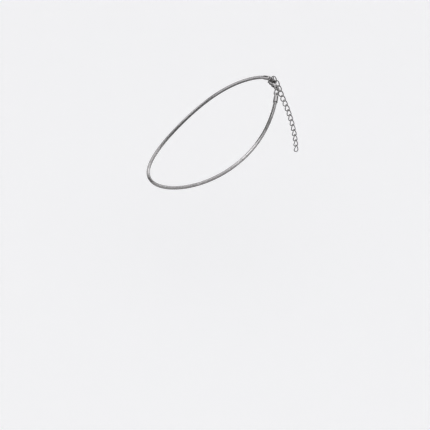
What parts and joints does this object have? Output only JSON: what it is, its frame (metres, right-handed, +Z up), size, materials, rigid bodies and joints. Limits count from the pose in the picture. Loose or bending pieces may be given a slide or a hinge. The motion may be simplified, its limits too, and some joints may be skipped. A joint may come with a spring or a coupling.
{
  "type": "snake chain anklet",
  "caption": "Polished snake chain anklet in its worn loop, with a lobster clasp, jump rings and a free-hanging curb-link extender.",
  "frame": {"origin": "middle of the worn loop, on the ankle's own line", "axes": "+Z up the leg, +X to the heel and the clasp, -Y to the side where the extender leans forward"},
  "size_m": [0.0948, 0.0646, 0.0532],
  "materials": {
    "polished_steel_chain": "polished stainless steel, pressed plates",
    "polished_steel": "polished stainless steel, drawn tube",
    "polished_steel_wire": "polished stainless steel wire",
    "cast_polished_steel": "polished stainless steel casting"
  },
  "bodies": {
    "anklet": {"snake_chain": "polished_steel_chain", "end_cap_near": "polished_steel", "end_cap_far": "polished_steel", "jump_ring_clasp": "polished_steel_wire", "jump_ring_extender": "polished_steel_wire", "clasp_body": "cast_polished_steel", "clasp_pin": "cast_polished_steel", "extender_link_01": "polished_steel_wire", "extender_link_02": "polished_steel_wire", "extender_link_03": "polished_steel_wire", "extender_link_04": "polished_steel_wire", "extender_link_05": "polished_steel_wire", "extender_link_06": "polished_steel_wire", "extender_link_07": "polished_steel_wire", "extender_link_08": "polished_steel_wire", "extender_link_09": "polished_steel_wire", "extender_link_10": "polished_steel_wire", "extender_link_11": "polished_steel_wire", "extender_link_12": "polished_steel_wire", "extender_link_13": "polished_steel_wire", "extender_link_14": "polished_steel_wire", "extender_link_15": "polished_steel_wire"},
    "lever": {"clasp_lever": "cast_polished_steel"}
  },
  "joints": [
    {"name": "lever_hinge", "type": "hinge", "parent": "anklet", "child": "lever", "pos_m": [0.03787, -0.00591, 0.02448], "axis": [-0.3018, 0.1874, -0.9348], "range_deg": [0, 16], "stiffness_Nm_per_rad": 0.004, "springref_deg": -17.19}
  ]
}
